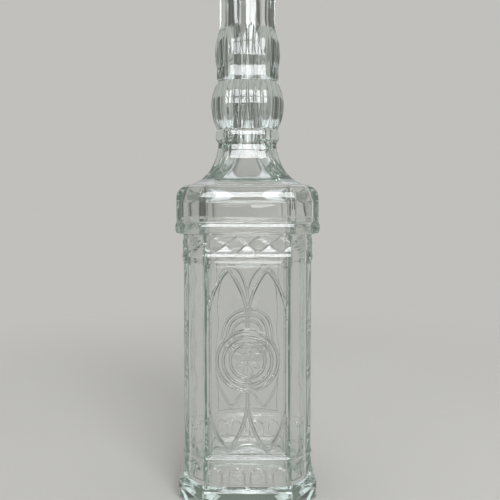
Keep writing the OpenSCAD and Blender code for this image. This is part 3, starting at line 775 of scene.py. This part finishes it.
# ---------------------------------------------------------------------------------------------------------
# The floor is one wide pale plane that fades into the backdrop. Seen through the glass or in it, it is
# nearly the plain backdrop.
PALE, FLOOR_PAINT = (0.53, 0.525, 0.505, 1), (0.62, 0.615, 0.59, 1)
FLOOR_Z_M, FLOOR_HALF_M = -0.0001, 6     # a hair under the foot
FADE_FROM, FADE_TO = 0.22, 0.62          # metres from the bottle at which the floor fades into the backdrop
FADE_IN_GLASS = 0.85


def kinds_of_ray(shader):
    """Three masks: rays straight from the camera, rays through glass, and rays through or mirrored in it."""
    rays = shader.node("ShaderNodeLightPath").link.node.outputs
    straight, through, mirrored = (Socket(shader, rays[name]) for name in (
        "Is Camera Ray", "Is Transmission Ray", "Is Glossy Ray"))
    return straight, through, through.maths("MAXIMUM", through, mirrored)


floor_mesh = bpy.data.meshes.new("floor")
floor_mesh.from_pydata([(x * FLOOR_HALF_M, y * FLOOR_HALF_M, FLOOR_Z_M)
                        for x, y in ((-1, -1), (1, -1), (1, 1), (-1, 1))], [], [(0, 1, 2, 3)])
floor = bpy.data.objects.new("floor", floor_mesh)
bpy.context.scene.collection.objects.link(floor)
floor_paint, shader = material("floor_paint")
plain = shader.node("ShaderNodeBsdfPrincipled", {}, {"Base Color": FLOOR_PAINT, "Roughness": 0.75})
backdrop = shader.node("ShaderNodeEmission", {}, {"Color": PALE, "Strength": 1.0})
where = shader.node("ShaderNodeTexCoord", output=3)
far = shader.node("ShaderNodeVectorMath", {"operation": "LENGTH"}, {0: where}, output=1)
fade = shader.node("ShaderNodeMapRange", {"interpolation_type": "SMOOTHSTEP"},
                   {0: far, 1: FADE_FROM, 2: FADE_TO})
in_glass = kinds_of_ray(shader)[2]
share_pale = fade.maths("MAXIMUM", fade, in_glass * FADE_IN_GLASS)
shader.node("ShaderNodeOutputMaterial", {}, {
    "Surface": shader.node("ShaderNodeMixShader", {}, {0: share_pale, 1: plain, 2: backdrop})})
floor_mesh.materials.append(floor_paint)

# ---------------------------------------------------------------------------------------------------------
# The room is plain and pale behind the bottle, darker to its left and in front, and has dark gaps between its
# six walls. Two tall windows with a bar in front and a wide dim one behind are seen only in the glass and
# through it, so that its edges and rounded shoulders draw themselves.
GAP_DARK, CEILING, ROOM_LIGHT = (0.12, 0.125, 0.115, 1), (0.62, 0.62, 0.61, 1), (0.62, 0.62, 0.62, 1)
GAPS, GAP_FROM, GAP_TO = 6, 0.5, 0.92
CEILING_FROM, CEILING_TO = 0.65, 0.85    # sine of the height above the horizon
BY_RIGHT, BY_HEIGHT, BY_DEPTH, DIMMEST = 0.7, -0.5, 0.45, 0.28    # how the walls' light changes over the room
world = bpy.data.worlds.new("room")
bpy.context.scene.world = world
world.use_nodes = True
shader = Shader(world.node_tree)
direction = shader.node("ShaderNodeTexCoord", output=0)
split = shader.node("ShaderNodeSeparateXYZ", {}, {0: direction})
x, y, z = (Socket(shader, split.link.node.outputs[k]) for k in range(3))
turn = x.maths("ARCTAN2", x, y)
gap = 0.5 - 0.5 * turn.maths("COSINE", turn * GAPS)
tone = 1 + BY_RIGHT * x + BY_HEIGHT * z + BY_DEPTH * (y - 1)
tone = tone.maths("MAXIMUM", tone, DIMMEST)
walls = shader.node("ShaderNodeVectorMath", {"operation": "SCALE"}, {0: PALE[:3], 3: tone})
walls = shader.mix(shader.mask(gap, GAP_FROM, GAP_TO), walls, GAP_DARK)
room = shader.mix(shader.mask(z, CEILING_FROM, CEILING_TO), walls, CEILING)

# The windows, by the degrees that they span to the right of the front and above the horizon. The one behind
# the bottle is counted to the right of the back.
WINDOWS = ((-6, 34), (-57, -42))
SILL, HEAD, RAIL, BAR_HALF = 9, 43, 25, 0.5
WINDOW_LIGHT = (12.0, 12.4, 12.8, 1)      # on the face of the glass
INNER_LIGHT, INNER_SPAN = (7.5, 7.7, 7.9, 1), (-60, 11)    # after it has been through the glass
BACK_SPAN, BACK_RISE, BACK_LIGHT = (-25, 25), (20, 45), (0.95, 0.98, 1.02, 1)


def between(value, low, high, soft=0.6):
    """1 between two angles in degrees and 0 outside, with a soft edge: the lesser of two linear steps."""
    steps = [shader.node("ShaderNodeMapRange", {}, {0: value, 1: a, 2: b})
             for a, b in ((low, low + soft), (high, high - soft))]
    return value.maths("MINIMUM", *steps)


azimuth = x.maths("ARCTAN2", x, 0 - y) * math.degrees(1)
elevation = z.maths("ARCSINE", z) * math.degrees(1)
glazed = between(elevation, SILL, RAIL - BAR_HALF)
glazed = glazed.maths("MAXIMUM", glazed, between(elevation, RAIL + BAR_HALF, HEAD))
straight, through, in_glass = kinds_of_ray(shader)
wide = [between(azimuth, *span) for span in WINDOWS]
wide = wide[0].maths("MAXIMUM", *wide) * (1 - through * (1 - between(azimuth, *INNER_SPAN)))
room = shader.mix(glazed * wide, room, shader.mix(through, WINDOW_LIGHT, INNER_LIGHT))
behind = between(elevation, *BACK_RISE, 2.0) * between(turn * math.degrees(1), *BACK_SPAN, 3.0)
room = shader.mix(behind, room, BACK_LIGHT)
colour = shader.mix(in_glass, ROOM_LIGHT, room)
colour = shader.mix(straight, colour, PALE)
background = shader.node("ShaderNodeBackground", {}, {"Color": colour, "Strength": 1.0})
shader.node("ShaderNodeOutputWorld", {}, {"Surface": background})

# ---------------------------------------------------------------------------------------------------------
# One soft lamp stands where the windows are and gives the floor its shadow. Its frame has three axes: to its
# right, up, and away from what it is aimed at.
LAMP_AT, LAMP_AIM, LAMP_SIZE, LAMP_WATTS = np.array([0.35, -0.9, 0.75]), np.array([0, 0, 0.12]), 0.6, 7.0
away = LAMP_AT - LAMP_AIM
away = away / np.linalg.norm(away)
right = np.cross([0, 0, 1], away)
right = right / np.linalg.norm(right)
turn = np.eye(4)
turn[:3, 0], turn[:3, 1], turn[:3, 2], turn[:3, 3] = right, np.cross(away, right), away, LAMP_AT
light = bpy.data.lights.new("soft_lamp", "AREA")
light.size, light.energy = LAMP_SIZE, LAMP_WATTS
lamp = bpy.data.objects.new("soft_lamp", light)
lamp.matrix_world = Matrix(turn.tolist())
lamp.visible_camera = lamp.visible_glossy = lamp.visible_transmission = False
bpy.context.scene.collection.objects.link(lamp)
